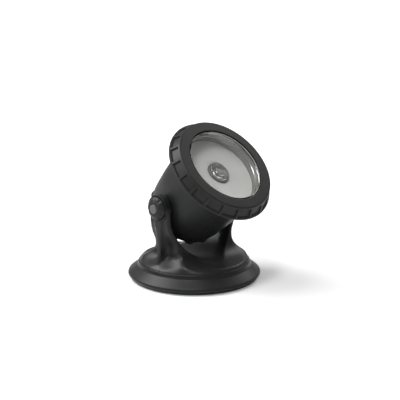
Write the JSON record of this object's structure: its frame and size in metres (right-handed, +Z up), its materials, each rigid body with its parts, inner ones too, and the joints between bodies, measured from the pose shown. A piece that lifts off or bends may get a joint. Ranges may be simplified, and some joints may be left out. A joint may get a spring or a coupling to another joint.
{
  "type": "underwater pond light",
  "caption": "Underwater pond light with a weighted round base, a flared yoke, side knobs and a tilting lamp head with a grooved locking ring.",
  "frame": {"origin": "middle of the base's outline, on the surface that the rubber feet stand on", "axes": "+Z up; the tilt axis runs along X through both knobs, with the left knob at -X; the lamp looks towards -Y and upwards"},
  "size_m": [0.085, 0.0927, 0.0998],
  "materials": {
    "base_plastic": "matt black moulded plastic",
    "yoke_plastic": "matt black moulded plastic",
    "casing_plastic": "satin black moulded plastic",
    "ring_plastic": "matt charcoal moulded plastic",
    "knob_plastic": "satin black moulded plastic",
    "cap_plastic": "light grey moulded cap",
    "nut_plastic": "satin black moulded plastic",
    "holder_plastic": "pale grey moulded holder",
    "plate_plastic": "matt warm grey plate",
    "clear_lens": "clear, polished",
    "bright_reflector": "bright metallised plastic",
    "rubber": "matt black rubber",
    "stainless": "stainless steel",
    "brass": "turned brass",
    "cast_iron": "painted iron",
    "aluminium": "plain aluminium",
    "board_aluminium": "white-faced aluminium board",
    "emitter_ceramic": "pale ceramic and resin",
    "board_laminate": "green laminate board",
    "capacitor_can": "sleeved aluminium can",
    "ferrite": "dark ferrite drum",
    "chip_plastic": "black moulded chip",
    "lead_plastic": "insulated wire"
  },
  "bodies": {
    "base": {"base_shell": "base_plastic", "ballast_ring": "cast_iron", "bottom_cover": "base_plastic", "cover_screws": "stainless", "rubber_feet": "rubber", "yoke": "yoke_plastic", "yoke_screws": "stainless"},
    "head": {"head_casing": "casing_plastic", "pivot_inserts": "brass", "pivot_washers": "rubber", "front_lens": "clear_lens", "lens_gasket": "rubber", "reflector": "bright_reflector", "face_plate": "plate_plastic", "led_optic": "clear_lens", "optic_holder": "holder_plastic", "led_emitter": "emitter_ceramic", "led_board": "board_aluminium", "board_screws": "stainless", "heat_sink": "aluminium", "led_leads": "lead_plastic", "driver_board": "board_laminate", "driver_capacitor": "capacitor_can", "driver_inductor": "ferrite", "driver_chip": "chip_plastic"},
    "ring": {"locking_ring": "ring_plastic"},
    "rear_cap": {"rear_cap": "casing_plastic", "rear_seal": "rubber", "gland_seal": "rubber"},
    "gland_nut": {"gland_nut": "nut_plastic"},
    "left_knob": {"left_knob": "knob_plastic", "left_knob_cap": "cap_plastic", "left_stud": "stainless"},
    "right_knob": {"right_knob": "knob_plastic", "right_knob_cap": "cap_plastic", "right_stud": "stainless"}
  },
  "joints": [
    {"name": "head_tilt", "type": "hinge", "parent": "base", "child": "head", "pos_m": [0, 0, 0.0497], "axis": [-1, 0, 0], "range_deg": [-42, 66]},
    {"name": "ring_turn", "type": "hinge", "parent": "head", "child": "ring", "pos_m": [0, -0.02505, 0.07414], "axis": [0, -0.7157, 0.6984], "range_deg": [0, 40]},
    {"name": "rear_cap_turn", "type": "hinge", "parent": "head", "child": "rear_cap", "pos_m": [0, 0.01074, 0.03922], "axis": [0, 0.7157, -0.6984], "range_deg": [0, 55]},
    {"name": "gland_nut_turn", "type": "hinge", "parent": "rear_cap", "child": "gland_nut", "pos_m": [0, 0.01575, 0.03433], "axis": [0, 0.7157, -0.6984], "range_deg": [0, 360]},
    {"name": "left_knob_turn", "type": "hinge", "parent": "head", "child": "left_knob", "pos_m": [-0.033, 0, 0.0497], "axis": [-1, 0, 0], "range_deg": [0, 360]},
    {"name": "right_knob_turn", "type": "hinge", "parent": "head", "child": "right_knob", "pos_m": [0.033, 0, 0.0497], "axis": [1, 0, 0], "range_deg": [0, 360]}
  ]
}
